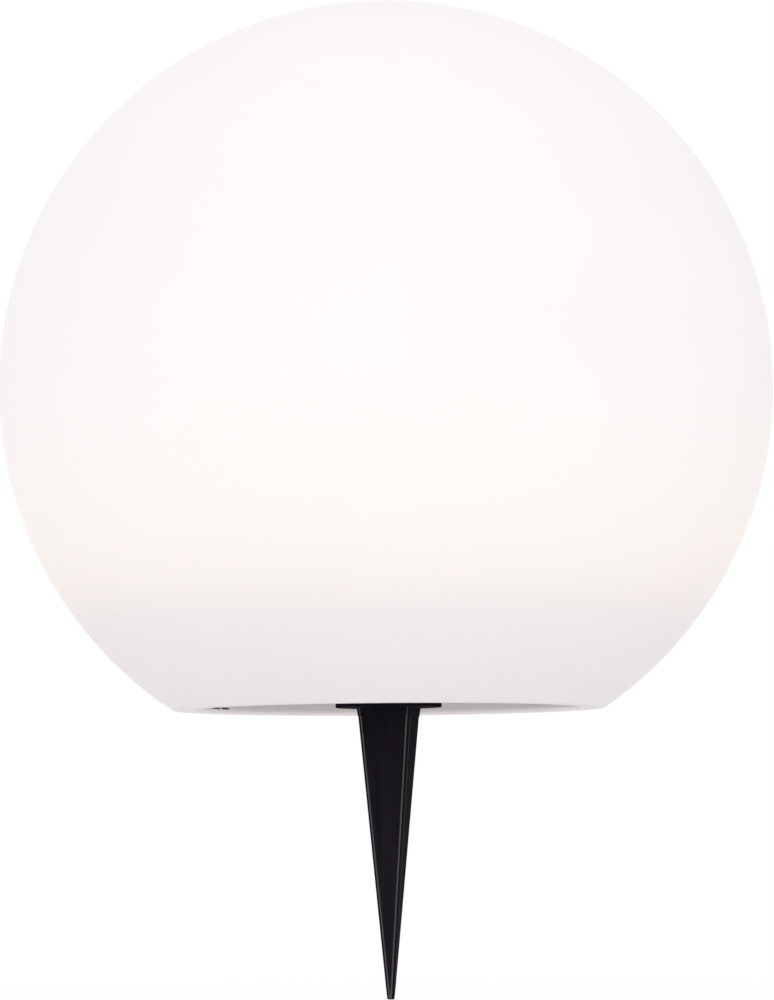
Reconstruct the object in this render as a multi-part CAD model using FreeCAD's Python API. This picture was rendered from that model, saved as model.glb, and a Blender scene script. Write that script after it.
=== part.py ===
"""Garden globe light on a ground stake.

An opal plastic globe, cut flat at the bottom, stands on its own foot ring. Its foot is drawn up inside
into a neck and a ledge, and a round base plate closes the neck from below. The base plate carries the
cable gland, the terminal block, the lampholder and the bulb. A tapered square spigot under the base plate
stands in the hollow top of a square ground stake, whose round flange lies just inside the foot ring.

Millimetres, +Z up. The origin is the centre of the foot ring's underside, which is the ground line.
"""

import FreeCAD, Part
import math
import os

from FreeCAD import Vector

# ---- driving dimensions, from the photograph and the usual sizes of such lights ----
GLOBE_R = 200.0  # sold as a 400 mm globe
GLOBE_CENTRE_Z = 166.2  # centre of the sphere above the foot ring
WALL = 3.0  # moulded wall of the globe
STAKE_TIP_Z = -149.0
STAKE_TOP_Z = -3.5  # where the plain taper begins, under the collar
STAKE_TOP_SIDE = 27.3
STAKE_TIP_SIDE = 3.8
STAKE_CORNER = 2.0  # rounding of its four long edges
STAKE_TIP_ROUND = 1.8
STAKE_WALL = 2.6
STAKE_FLOOR_Z = -118.0  # the stake is hollow down to here
COLLAR_SIDE = 28.6
COLLAR_BOTTOM_Z = -2.5
FLANGE_R = 27.4
FLANGE_Z = (0.9, 3.9)  # underside and top of the stake's flange
SPIGOT_END_Z = -26.0
SPIGOT_GAP = 0.25
SPIGOT_WALL = 2.2

# ---- globe foot, neck and ledge ----
NECK_R = 98.0  # inside of the neck, seen from below as the recess wall
NECK_EDGE_ROUND = 3.0
FOOT_EDGE_ROUND = 2.5
LEDGE_Z = 24.0  # underside of the ledge that the base plate is drawn against
LEDGE_R = 82.0  # opening through the ledge
SLOT_AZIMUTH = 164.0  # short moulded slot in the neck wall
SLOT_SIZE = (1.5, 18.0, 1.2)  # depth, width, height
SLOT_Z = 2.0

# ---- base plate ----
PLATE_R = 97.0
PLATE_Z = (19.0, 22.0)
GASKET_GAP = 0.05
HUB_R = 30.0
HUB_WALL = 2.5
HUB_Z = (3.95, 28.0)
HUB_CAP = 3.0
RIB_COUNT = 8
RIB_SIZE = (2.0, 5.0)  # thickness, height
RIB_END_R = 80.0

# ---- screws that hold the globe to the base plate ----
SCREW_PITCH_R = 90.0
SCREW_COUNT = 4
SCREW_R = 2.0
SCREW_HEAD_R = 4.0
SCREW_HEAD_H = 2.6
SCREW_TIP_Z = 37.0
WASHER_H = 1.0
INSERT_R = 3.5
INSERT_Z = (28.0, 39.0)
BOSS_R = 6.0
BOSS_TOP_Z = 41.0

# ---- cable gland, size M16 ----
GLAND_AZIMUTH = SLOT_AZIMUTH
GLAND_PITCH_R = 62.0
GLAND_THREAD_R = 8.0
GLAND_FLATS = 20.0
GLAND_BORE_R = 5.6
CABLE_HOLE_R = 3.6
DOME_NUT_Z = (6.0, 13.6)
GLAND_SEAL_Z = (10.1, 16.5)
GLAND_SEAT_Z = 17.5  # the washer lies between here and the plate
GLAND_STEM_TOP_Z = 30.0

# ---- breather vent ----
VENT_AZIMUTH = 270.0
VENT_STEM_R = 4.0
VENT_CAP_R = 7.0

# ---- lampholder and bulb, cap size E27 ----
HOLDER_R = 22.0
HOLDER_Z = (28.0, 68.0)
HOLDER_FLOOR = 8.0
HOLDER_FLANGE_R = 29.0
HOLDER_SCREW_R = 25.4
THREAD_PITCH = 3.629
CAP_CREST_R = 13.1
CAP_ROOT_R = 12.1
CAP_WALL = 0.6
CAP_Z = (44.0, 68.6)
LINER_GAP = 0.25  # between the bulb's thread and the lampholder's liner
LINER_WALL = 0.6
CONTACT_Z = 40.0
BULB_TOP_Z = 150.0
BULB_R = 30.0
HOUSING_TOP_Z = 96.0
HOUSING_TOP_R = 27.5

# ---- terminal block and wires ----
BLOCK_CENTRE_X = 56.0
BLOCK_SIZE = (20.0, 19.0, 14.0)
POLE_Y = 5.0
BLOCK_SCREW_R = 1.25
WIRE_R = 1.1
WIRE_BEND_R = 18.0

UP = Vector(0, 0, 1)


# ---- small helpers ----
def cylinder(r, z0, z1, x=0.0, y=0.0):
    return Part.makeCylinder(r, z1 - z0, Vector(x, y, z0), UP)


def ring(r_in, r_out, z0, z1, x=0.0, y=0.0):
    return cylinder(r_out, z0, z1, x, y).cut(cylinder(r_in, z0 - 1, z1 + 1, x, y))


def cone(r0, r1, z0, z1, x=0.0, y=0.0):
    return Part.makeCone(r0, r1, z1 - z0, Vector(x, y, z0), UP)


def along_x(r, x0, x1, y, z):
    return Part.makeCylinder(r, x1 - x0, Vector(x0, y, z), Vector(1, 0, 0))


def block(x0, x1, y0, y1, z0, z1):
    return Part.makeBox(x1 - x0, y1 - y0, z1 - z0, Vector(x0, y0, z0))


def hexagon(flats, z0, z1, x=0.0, y=0.0):
    corner = flats / math.sqrt(3)
    points = [
        Vector(x + corner * math.cos(math.radians(a)), y + corner * math.sin(math.radians(a)), z0)
        for a in range(30, 420, 60)
    ]
    return Part.Face(Part.makePolygon(points)).extrude(UP * (z1 - z0))


def polar(radius, azimuth):
    a = math.radians(azimuth)
    return radius * math.cos(a), radius * math.sin(a)


def turned(shape, azimuth):
    copy = shape.copy()
    copy.rotate(Vector(0, 0, 0), UP, azimuth)
    return copy


def moved(shape, x, y, z=0.0):
    copy = shape.copy()
    copy.translate(Vector(x, y, z))
    return copy


def fused(shapes):
    first, *others = shapes
    return first.multiFuse(others).removeSplitter() if others else first


def revolved(points):
    """A solid of revolution about Z from (radius, height) corners."""
    corners = [Vector(r, 0, z) for r, z in points]
    return Part.Face(Part.makePolygon([*corners, corners[0]])).revolve(Vector(0, 0, 0), UP, 360)


def rounded_ring(shape, r, z, radius):
    """Rounds the circular edge of that radius at that height."""
    edges = [
        e
        for e in shape.Edges
        if not e.Degenerated
        and isinstance(e.Curve, Part.Circle)
        and abs(e.Curve.Radius - r) < 0.02
        and abs(e.Curve.Center.z - z) < 0.02
        and abs(e.Curve.Center.x) + abs(e.Curve.Center.y) < 0.02
    ]
    return shape.makeFillet(radius, edges)


def around(count, first_azimuth, radius):
    step = 360.0 / count
    return [polar(radius, first_azimuth + i * step) for i in range(count)]


SCREW_PLACES = around(SCREW_COUNT, 45.0, SCREW_PITCH_R)
GLAND_X, GLAND_Y = polar(GLAND_PITCH_R, GLAND_AZIMUTH)
VENT_X, VENT_Y = polar(GLAND_PITCH_R, VENT_AZIMUTH)
HOLDER_SCREW_PLACES = around(2, 90.0, HOLDER_SCREW_R)


def save(name, shape):
    """Writes one node. A group of separate solids stays a compound."""
    solids = shape.Solids
    whole = solids[0] if len(solids) == 1 else Part.makeCompound(solids)
    good = all(s.isValid() and s.Volume > 0 for s in solids)
    print(f"{name}: {len(solids)} solid(s), {whole.Volume / 1000:.2f} cm3, {'ok' if good else 'BAD'}")
    whole.exportStep(f"parts/{name}.step")


# ---- globe ----
def globe_shell():
    centre = Vector(0, 0, GLOBE_CENTRE_Z)
    above = cylinder(GLOBE_R + 1, 0, 2 * GLOBE_R)
    foot_r = math.sqrt(GLOBE_R**2 - GLOBE_CENTRE_Z**2)
    body = Part.makeSphere(GLOBE_R, centre).common(above)
    body = rounded_ring(body, foot_r, 0, FOOT_EDGE_ROUND)
    body = body.cut(cylinder(NECK_R, -1, LEDGE_Z))
    body = rounded_ring(body, NECK_R, 0, NECK_EDGE_ROUND)
    body = body.cut(cylinder(LEDGE_R, LEDGE_Z - 1, LEDGE_Z + WALL + 1))
    hollow = Part.makeSphere(GLOBE_R - WALL, centre).common(cylinder(GLOBE_R, WALL, 2 * GLOBE_R))
    hollow = hollow.cut(cylinder(NECK_R + WALL, 0, LEDGE_Z + WALL))
    body = body.cut(hollow)
    bosses = [cylinder(BOSS_R, LEDGE_Z + 1, BOSS_TOP_Z, x, y) for x, y in SCREW_PLACES]
    body = fused([body, *bosses])
    for x, y in SCREW_PLACES:
        body = body.cut(cylinder(INSERT_R, *INSERT_Z, x, y))
        body = body.cut(cylinder(SCREW_R + 0.4, LEDGE_Z - 1, INSERT_Z[0] + 1, x, y))
    depth, width, height = SLOT_SIZE
    slot = block(NECK_R - 2, NECK_R + depth, -width / 2, width / 2, SLOT_Z, SLOT_Z + height)
    return body.cut(turned(slot, SLOT_AZIMUTH))


def threaded_inserts():
    insert = ring(SCREW_R + 0.1, INSERT_R, *INSERT_Z)
    groove = ring(INSERT_R - 0.4, INSERT_R + 1, INSERT_Z[0] + 4.5, INSERT_Z[0] + 6.5)
    return Part.makeCompound([moved(insert.cut(groove), x, y) for x, y in SCREW_PLACES])


# ---- base plate and its seal ----
def rounded_square(side, z, corner):
    """The outline of a square with rounded corners at that height."""
    flat = Part.makePlane(side, side, Vector(-side / 2, -side / 2, z))
    slab = flat.extrude(UP)
    upright = [e for e in slab.Edges if abs(e.tangentAt(e.FirstParameter).z) > 0.9]
    slab = slab.makeFillet(corner, upright)
    return min(slab.Faces, key=lambda face: face.CenterOfMass.z).OuterWire


def square_taper(levels, corner):
    """A tapered square bar through (side, height) levels, lowest first."""
    pieces = [
        Part.makeLoft([rounded_square(*low, corner), rounded_square(*high, corner)], True, True)
        for low, high in zip(levels, levels[1:])
    ]
    return fused(pieces)


def stake_side(z):
    share = (z - STAKE_TIP_Z) / (STAKE_TOP_Z - STAKE_TIP_Z)
    return STAKE_TIP_SIDE + (STAKE_TOP_SIDE - STAKE_TIP_SIDE) * share


def socket_side(z):
    return stake_side(z) - 2 * STAKE_WALL


def spigot_side(z):
    return socket_side(z) - 2 * SPIGOT_GAP


def base_plate():
    cap_z = HUB_Z[1] - HUB_CAP
    plate = cylinder(PLATE_R, *PLATE_Z)
    hub = ring(HUB_R - HUB_WALL, HUB_R, *HUB_Z)
    cap = cylinder(HUB_R - 1, cap_z, HUB_Z[1])
    spigot = square_taper([(spigot_side(z), z) for z in (SPIGOT_END_Z, cap_z + 1)], 1.2)
    web = block(-HUB_R + 1, HUB_R - 1, -1.0, 1.0, HUB_Z[0] + 3, cap_z + 1)
    thickness, height = RIB_SIZE
    rib = block(HUB_R - 1, RIB_END_R, -thickness / 2, thickness / 2, PLATE_Z[1] - 0.5, PLATE_Z[1] + height)
    rib_step = 360.0 / RIB_COUNT
    ribs = [turned(rib, rib_step * (i + 0.5)) for i in range(RIB_COUNT)]
    screw_posts = [cylinder(4.0, HUB_Z[0] + 6, HUB_Z[1], x, y) for x, y in HOLDER_SCREW_PLACES]
    body = fused([plate, hub, cap, spigot, web, turned(web, 90), *ribs, *screw_posts])
    hollow = [(spigot_side(z) - 2 * SPIGOT_WALL, z) for z in (SPIGOT_END_Z - 1, cap_z)]
    body = body.cut(square_taper(hollow, 0.6))
    body = body.cut(cylinder(GLAND_THREAD_R + 0.2, PLATE_Z[0] - 1, PLATE_Z[1] + 1, GLAND_X, GLAND_Y))
    gland_land = cylinder(GLAND_FLATS * 0.62, PLATE_Z[1], PLATE_Z[1] + height + 1, GLAND_X, GLAND_Y)
    body = body.cut(gland_land)
    body = body.cut(cylinder(VENT_STEM_R, PLATE_Z[0] - 1, PLATE_Z[1] + 1, VENT_X, VENT_Y))
    for x, y in SCREW_PLACES:
        body = body.cut(cylinder(SCREW_R + 0.3, PLATE_Z[0] - 1, PLATE_Z[1] + 1, x, y))
    for x, y in HOLDER_SCREW_PLACES:
        body = body.cut(cylinder(1.75, HUB_Z[1] - 12, HUB_Z[1] + 1, x, y))
    body = body.cut(cylinder(BLOCK_SCREW_R + 0.05, PLATE_Z[0] + 0.8, PLATE_Z[1] + 1, BLOCK_CENTRE_X, 0))
    return rounded_ring(body, PLATE_R, PLATE_Z[0], 1.0)


def base_gasket():
    gasket = ring(LEDGE_R + 1.0, PLATE_R - 0.5, PLATE_Z[1], LEDGE_Z - GASKET_GAP)
    for x, y in SCREW_PLACES:
        gasket = gasket.cut(cylinder(SCREW_R + 0.3, 0, 50, x, y))
    return gasket


def pan_screw(shank_r, head_r, head_h, length):
    """A pan-head screw with a cross recess, head down, its bearing face at height 0."""
    head = cylinder(head_r, -head_h, 0)
    head = rounded_ring(head, head_r, -head_h, head_h * 0.55)
    arm = head_r * 0.55
    slots = [block(-arm, arm, -0.45, 0.45, -head_h - 1, -head_h * 0.45)]
    slots.append(turned(slots[0], 90))
    shank = cylinder(shank_r, -0.5, length - shank_r * 0.5)
    tip = cone(shank_r, shank_r * 0.6, length - shank_r * 0.5, length)
    return fused([head, shank, tip]).cut(fused(slots))


def base_screws():
    seat = PLATE_Z[0] - WASHER_H
    screw = pan_screw(SCREW_R, SCREW_HEAD_R, SCREW_HEAD_H, SCREW_TIP_Z - seat)
    return Part.makeCompound([moved(screw, x, y, seat) for x, y in SCREW_PLACES])


def sealing_washers():
    washer = ring(SCREW_R + 0.1, SCREW_HEAD_R + 0.8, PLATE_Z[0] - WASHER_H, PLATE_Z[0])
    return Part.makeCompound([moved(washer, x, y) for x, y in SCREW_PLACES])


# ---- cable gland ----
def gland_washer():
    return ring(GLAND_THREAD_R + 0.1, GLAND_FLATS / 2, GLAND_SEAT_Z, PLATE_Z[0], GLAND_X, GLAND_Y)


def gland_body():
    """Hexagon collar under the plate, threaded stem through it, and a sleeve for the seal below."""
    collar = hexagon(GLAND_FLATS, DOME_NUT_Z[1] + 0.4, GLAND_SEAT_Z, GLAND_X, GLAND_Y)
    stem = cylinder(GLAND_THREAD_R, GLAND_SEAT_Z - 1, GLAND_STEM_TOP_Z, GLAND_X, GLAND_Y)
    sleeve = cylinder(7.2, GLAND_SEAL_Z[0] + 0.5, DOME_NUT_Z[1] + 1, GLAND_X, GLAND_Y)
    body = fused([collar, stem, sleeve])
    body = body.cut(cylinder(GLAND_BORE_R, 0, GLAND_STEM_TOP_Z + 1, GLAND_X, GLAND_Y))
    return body.cut(cylinder(6.1, 0, GLAND_SEAL_Z[1] + 0.1, GLAND_X, GLAND_Y))


def gland_dome_nut():
    z0, z1 = DOME_NUT_Z
    dome_top = z0 + 4.0
    nut = hexagon(GLAND_FLATS - 1, dome_top, z1, GLAND_X, GLAND_Y)
    dome = cone(6.6, GLAND_FLATS / 2 - 0.5, z0, dome_top, GLAND_X, GLAND_Y)
    body = fused([nut, dome])
    body = body.cut(cylinder(CABLE_HOLE_R + 0.7, z0 - 1, z1 + 1, GLAND_X, GLAND_Y))
    return body.cut(cylinder(7.3, dome_top, z1 + 1, GLAND_X, GLAND_Y))


def gland_seal():
    return ring(CABLE_HOLE_R, 6.0, *GLAND_SEAL_Z, GLAND_X, GLAND_Y)


def gland_locknut():
    nut = hexagon(GLAND_FLATS + 1, PLATE_Z[1], PLATE_Z[1] + 4.5, GLAND_X, GLAND_Y)
    return nut.cut(cylinder(GLAND_THREAD_R + 0.02, 0, GLAND_STEM_TOP_Z, GLAND_X, GLAND_Y))


# ---- breather vent ----
def breather_vent():
    """A push-in vent that lets the globe breathe: a low cap below, a stem through the plate, a barb above."""
    z0, z1 = PLATE_Z
    cap = cylinder(VENT_CAP_R, z0 - 3.0, z0, VENT_X, VENT_Y)
    stem = cylinder(VENT_STEM_R, z0 - 1, z1 + 0.5, VENT_X, VENT_Y)
    barb = cone(VENT_STEM_R + 0.8, VENT_STEM_R - 0.8, z1, z1 + 3.0, VENT_X, VENT_Y)
    body = fused([cap, stem, barb]).cut(cylinder(2.2, z0 - 1.5, z1 + 4, VENT_X, VENT_Y))
    for azimuth in (0, 60, 120):
        channel = turned(block(-VENT_CAP_R - 1, VENT_CAP_R + 1, -0.5, 0.5, -0.8, 0.0), azimuth)
        body = body.cut(moved(channel, VENT_X, VENT_Y, z0 - 1.2))
    return body


# ---- lampholder ----
def threaded_wall(base_r, crest_r, z0, z1):
    """Corners of a wall whose radius swells from base_r to crest_r once every thread pitch."""
    points = [(base_r, z0)]
    z = z0 + THREAD_PITCH * 0.4
    while z + THREAD_PITCH * 0.8 < z1:
        points += [
            (base_r, z),
            (crest_r, z + THREAD_PITCH * 0.28),
            (crest_r, z + THREAD_PITCH * 0.52),
            (base_r, z + THREAD_PITCH * 0.8),
        ]
        z += THREAD_PITCH
    return [*points, (base_r, z1)]


LINER_BORE_R = CAP_CREST_R + LINER_GAP
LINER_CREST_R = LINER_BORE_R + 1.0
HOLDER_FLOOR_Z = HOLDER_Z[0] + HOLDER_FLOOR
LINER_Z = (HOLDER_FLOOR_Z + 4, HOLDER_Z[1] - 4)
TERMINAL_X = (8.0, 13.5)
TERMINAL_HALF_WIDTH = 2.3
TERMINAL_Z = (29.6, 35.0)
HOLDER_WIRE_Z = 32.6


def lampholder_body():
    z0, z1 = HOLDER_Z
    liner_room = LINER_CREST_R + LINER_WALL + 0.05
    body = rounded_ring(cylinder(HOLDER_R, z0, z1), HOLDER_R, z1, 2.0)
    body = fused([body, ring(HOLDER_R - 1, HOLDER_FLANGE_R, z0, z0 + 3)])
    body = body.cut(cylinder(liner_room, HOLDER_FLOOR_Z, LINER_Z[1]))
    body = body.cut(cylinder(LINER_BORE_R, HOLDER_FLOOR_Z, z1 + 1))
    for x, y in HOLDER_SCREW_PLACES:
        body = body.cut(cylinder(1.9, z0 - 1, z0 + 4, x, y))
    (x0, x1), half, (low, high) = TERMINAL_X, TERMINAL_HALF_WIDTH, TERMINAL_Z
    for y in (-POLE_Y, POLE_Y):
        body = body.cut(along_x(WIRE_R + 0.3, x1 - 1, HOLDER_R + 1, y, HOLDER_WIRE_Z))
        body = body.cut(block(x0 - 0.1, x1 + 0.1, y - half - 0.1, y + half + 0.1, z0 - 1, high + 0.1))
    return body


def lampholder_liner():
    inside = threaded_wall(LINER_BORE_R, LINER_CREST_R, *LINER_Z)
    outside = [(r + LINER_WALL, z) for r, z in reversed(inside)]
    return revolved([*inside, *outside])


def centre_contact():
    """A sprung tongue on the lampholder's floor, under the bulb's centre contact."""
    floor, tip, thick = HOLDER_FLOOR_Z, CONTACT_Z - 0.3, 0.5
    top = [(-9, floor + thick), (-4.3, floor + thick), (1.7, tip), (4, tip)]
    bottom = [(4, tip - thick), (2, tip - thick), (-4, floor), (-9, floor)]
    corners = [Vector(x, -2.5, z) for x, z in [*bottom, *top]]
    return Part.Face(Part.makePolygon([*corners, corners[0]])).extrude(Vector(0, 5, 0))


def side_contact():
    """A leaf that joins the threaded liner to the second terminal."""
    thick = 0.6
    foot = block(8, LINER_BORE_R, -3, 3, HOLDER_FLOOR_Z, HOLDER_FLOOR_Z + thick)
    leaf = block(LINER_BORE_R - thick, LINER_BORE_R, -3, 3, HOLDER_FLOOR_Z, LINER_Z[0])
    return fused([foot, leaf])


def holder_terminals():
    """Two brass blocks in pockets under the holder's floor, bored for the wires' ends."""
    half = TERMINAL_HALF_WIDTH
    blocks = []
    for y in (-POLE_Y, POLE_Y):
        brass = block(*TERMINAL_X, y - half, y + half, *TERMINAL_Z)
        wire_hole = along_x(WIRE_R + 0.05, TERMINAL_X[0] + 1, TERMINAL_X[1] + 1, y, HOLDER_WIRE_Z)
        blocks.append(brass.cut(wire_hole))
    return Part.makeCompound(blocks)


def lampholder_screws():
    screw = pan_screw(1.7, 3.2, 2.0, 11.0)
    screw.rotate(Vector(0, 0, 0), Vector(1, 0, 0), 180)
    return Part.makeCompound([moved(screw, x, y, HOLDER_Z[0] + 3) for x, y in HOLDER_SCREW_PLACES])


# ---- terminal block and wires ----
BLOCK_X = (BLOCK_CENTRE_X - BLOCK_SIZE[0] / 2, BLOCK_CENTRE_X + BLOCK_SIZE[0] / 2)
BLOCK_WIRE_Z = PLATE_Z[1] + 6.5
CLAMP_SCREW_PLACES = (BLOCK_CENTRE_X - 5.5, BLOCK_CENTRE_X + 5.5)


def terminal_block():
    width, height = BLOCK_SIZE[1], BLOCK_SIZE[2]
    z0 = PLATE_Z[1]
    base = block(*BLOCK_X, -width / 2, width / 2, z0, z0 + 3)
    dome = block(BLOCK_X[0] + 1, BLOCK_X[1] - 1, -3.9, 3.9, z0 + 2, z0 + height)
    body = fused([base, moved(dome, 0, POLE_Y), moved(dome, 0, -POLE_Y)])
    for y in (-POLE_Y, POLE_Y):
        body = body.cut(along_x(2.65, *BLOCK_X, y, BLOCK_WIRE_Z))
        for x in CLAMP_SCREW_PLACES:
            body = body.cut(cylinder(2.0, BLOCK_WIRE_Z, z0 + height + 1, x, y))
    body = body.cut(cylinder(2.4, z0 + 3, z0 + height + 1, BLOCK_CENTRE_X, 0))
    return body.cut(cylinder(BLOCK_SCREW_R + 0.1, z0 - 1, z0 + height + 1, BLOCK_CENTRE_X, 0))


def terminal_clamps():
    """A brass tube in each pole, with two tapped holes on top."""
    tubes = []
    for y in (-POLE_Y, POLE_Y):
        tube = along_x(2.6, BLOCK_X[0] + 2, BLOCK_X[1] - 2, y, BLOCK_WIRE_Z)
        tube = tube.cut(along_x(1.7, *BLOCK_X, y, BLOCK_WIRE_Z))
        for x in CLAMP_SCREW_PLACES:
            tube = tube.cut(cylinder(1.3, BLOCK_WIRE_Z, BLOCK_WIRE_Z + 5, x, y))
        tubes.append(tube)
    return Part.makeCompound(tubes)


def terminal_screws():
    screws = []
    for y in (-POLE_Y, POLE_Y):
        for x in CLAMP_SCREW_PLACES:
            shank = cylinder(1.25, BLOCK_WIRE_Z + 1.2, BLOCK_WIRE_Z + 4, x, y)
            head = cylinder(1.8, BLOCK_WIRE_Z + 3.5, BLOCK_WIRE_Z + 5.5, x, y)
            slot = block(x - 2, x + 2, y - 0.3, y + 0.3, BLOCK_WIRE_Z + 4.7, BLOCK_WIRE_Z + 6)
            screws.append(fused([shank, head]).cut(slot))
    return Part.makeCompound(screws)


def block_screw():
    screw = pan_screw(BLOCK_SCREW_R, 2.2, 1.4, 5.0)
    screw.rotate(Vector(0, 0, 0), Vector(1, 0, 0), 180)
    return moved(screw, BLOCK_CENTRE_X, 0, PLATE_Z[1] + 3)


def wire(y):
    """One wire from its clamp in the terminal block, over the hub's edge, into the lampholder's side."""
    route = [
        Vector(TERMINAL_X[0] + 1.5, y, HOLDER_WIRE_Z),
        Vector(HOLDER_R + 10, y, HOLDER_WIRE_Z),
        Vector(HOLDER_R + 20, y, BLOCK_WIRE_Z),
        Vector(BLOCK_X[0] + 7.0, y, BLOCK_WIRE_Z),
    ]
    edges, last = [], route[0]
    for before, corner, after in zip(route, route[1:], route[2:]):
        go_in, go_out = (corner - before).normalize(), (after - corner).normalize()
        half_turn = go_in.getAngle(go_out) / 2
        reach = WIRE_BEND_R * math.tan(half_turn)
        start, stop = corner - go_in * reach, corner + go_out * reach
        inward = (go_out - go_in).normalize()
        centre = corner + inward * (WIRE_BEND_R / math.cos(half_turn))
        middle = centre - inward * WIRE_BEND_R
        edges += [Part.LineSegment(last, start).toShape(), Part.Arc(start, middle, stop).toShape()]
        last = stop
    edges.append(Part.LineSegment(last, route[-1]).toShape())
    path = Part.Wire(edges)
    section = Part.Wire(Part.makeCircle(WIRE_R, route[0], Vector(1, 0, 0)))
    return path.makePipeShell([section], True, False)


# ---- bulb ----
def bulb_cap():
    outside = threaded_wall(CAP_ROOT_R, CAP_CREST_R, *CAP_Z)
    inside = [(CAP_ROOT_R - CAP_WALL, CAP_Z[1]), (CAP_ROOT_R - CAP_WALL, CAP_Z[0])]
    return revolved([*outside, *inside])


def bulb_insulator():
    """A glass cone that closes the cap's lower end and carries the centre contact."""
    z0, z1 = CONTACT_Z + 0.8, CAP_Z[0]
    inner_r = CAP_ROOT_R - CAP_WALL
    return revolved([(0, z0), (6.5, z0), (CAP_ROOT_R, z1), (inner_r, z1), (inner_r, z1 + 2), (0, z1 + 2)])


def bulb_contact():
    z0 = CONTACT_Z + 0.8
    return rounded_ring(cylinder(4.6, CONTACT_Z, z0), 4.6, CONTACT_Z, 0.5)


def bulb_housing():
    """The bulb's tapering body, hollow for its driver, closed by the cap below and the board above."""
    wall = 1.6
    outside = [
        (CAP_ROOT_R - 0.7, CAP_Z[1] - 3),
        (CAP_ROOT_R - 0.7, CAP_Z[1]),
        (CAP_CREST_R + 0.6, CAP_Z[1]),
        (CAP_CREST_R + 1.4, CAP_Z[1] + 3),
        (HOUSING_TOP_R - 3, HOUSING_TOP_Z - 8),
        (HOUSING_TOP_R, HOUSING_TOP_Z),
    ]
    inside = [
        (HOUSING_TOP_R - wall, HOUSING_TOP_Z),
        (HOUSING_TOP_R - 3 - wall, HOUSING_TOP_Z - 8),
        (CAP_ROOT_R - 0.7 - wall, CAP_Z[1] + 4),
        (CAP_ROOT_R - 0.7 - wall, CAP_Z[1] - 3),
    ]
    return revolved([*outside, *inside])


def dome_form(r, foot_r):
    """A cone that widens from the housing's rim into a half sphere."""
    centre_z = BULB_TOP_Z - BULB_R
    half_ball = Part.makeSphere(r, Vector(0, 0, centre_z)).common(cylinder(r + 1, centre_z, BULB_TOP_Z + 1))
    return fused([half_ball, cone(foot_r, r, HOUSING_TOP_Z, centre_z)])


def bulb_dome():
    wall = 1.2
    return dome_form(BULB_R, HOUSING_TOP_R).cut(dome_form(BULB_R - wall, HOUSING_TOP_R - wall))


def led_board():
    return cylinder(HOUSING_TOP_R - 1.4, HOUSING_TOP_Z, HOUSING_TOP_Z + 1.2)


def driver_board():
    """The bulb's driver board, upright from the insulator to the underside of the LED board."""
    half_width = CAP_ROOT_R - 2.8
    return block(-half_width, half_width, -0.6, 0.6, CAP_Z[0] + 2, HOUSING_TOP_Z)


def driver_parts():
    """Capacitor and transformer on one side of the driver board, a chip on the other."""
    top = HOUSING_TOP_Z - 5
    capacitor = rounded_ring(cylinder(4.0, top - 15, top), 4.0, top, 0.8)
    transformer = block(2.0, 10.0, 0.6, 8.6, top - 12, top)
    chip = block(-3.0, 3.0, -2.2, -0.6, CAP_Z[1] - 8, CAP_Z[1])
    return Part.makeCompound([moved(capacitor, -3.5, 4.6), transformer, chip])


def led_chips():
    z0 = HOUSING_TOP_Z + 1.2
    places = around(10, 0, 16.5) + around(4, 45, 7.0)
    return Part.makeCompound([block(x - 1.4, x + 1.4, y - 1.4, y + 1.4, z0, z0 + 0.7) for x, y in places])


# ---- stake ----
def ground_stake():
    """A hollow square taper with rounded edges, open at the top, with a collar and a round flange."""
    taper = square_taper([(stake_side(z), z) for z in (STAKE_TIP_Z, COLLAR_BOTTOM_Z + 0.5)], STAKE_TIP_ROUND)
    collar = [(COLLAR_SIDE, z) for z in (COLLAR_BOTTOM_Z, FLANGE_Z[0] + 0.5)]
    flange = rounded_ring(cylinder(FLANGE_R, *FLANGE_Z), FLANGE_R, FLANGE_Z[0], 0.4)
    body = fused([taper, square_taper(collar, STAKE_CORNER + 0.4), flange])
    hollow = [(socket_side(z), z) for z in (STAKE_FLOOR_Z, FLANGE_Z[1] + 1)]
    return body.cut(square_taper(hollow, 0.8))


def main():
    os.makedirs("parts", exist_ok=True)
    nodes = {
        "ground_stake": ground_stake(),
        "globe_shell": globe_shell(),
        "threaded_inserts": threaded_inserts(),
        "base_plate": base_plate(),
        "base_gasket": base_gasket(),
        "base_screws": base_screws(),
        "sealing_washers": sealing_washers(),
        "gland_body": gland_body(),
        "gland_dome_nut": gland_dome_nut(),
        "gland_seal": gland_seal(),
        "gland_locknut": gland_locknut(),
        "gland_washer": gland_washer(),
        "breather_vent": breather_vent(),
        "lampholder_body": lampholder_body(),
        "lampholder_liner": lampholder_liner(),
        "centre_contact": centre_contact(),
        "side_contact": side_contact(),
        "holder_terminals": holder_terminals(),
        "lampholder_screws": lampholder_screws(),
        "terminal_block": terminal_block(),
        "terminal_clamps": terminal_clamps(),
        "terminal_screws": terminal_screws(),
        "block_screw": block_screw(),
        "live_wire": wire(POLE_Y),
        "neutral_wire": wire(-POLE_Y),
        "bulb_dome": bulb_dome(),
        "bulb_housing": bulb_housing(),
        "bulb_cap": bulb_cap(),
        "bulb_insulator": bulb_insulator(),
        "bulb_contact": bulb_contact(),
        "driver_board": driver_board(),
        "driver_parts": driver_parts(),
        "led_board": led_board(),
        "led_chips": led_chips(),
    }
    for name, shape in nodes.items():
        save(name, shape)


main()
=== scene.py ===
"""Looks of the garden globe light: finish, fine shapes, light and camera round its fixed frame.

Metres, +Z up. The origin is the centre of the foot ring's underside, on the ground line.
"""

import bmesh
import bpy
import math
from mathutils import Matrix, Vector


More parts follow.
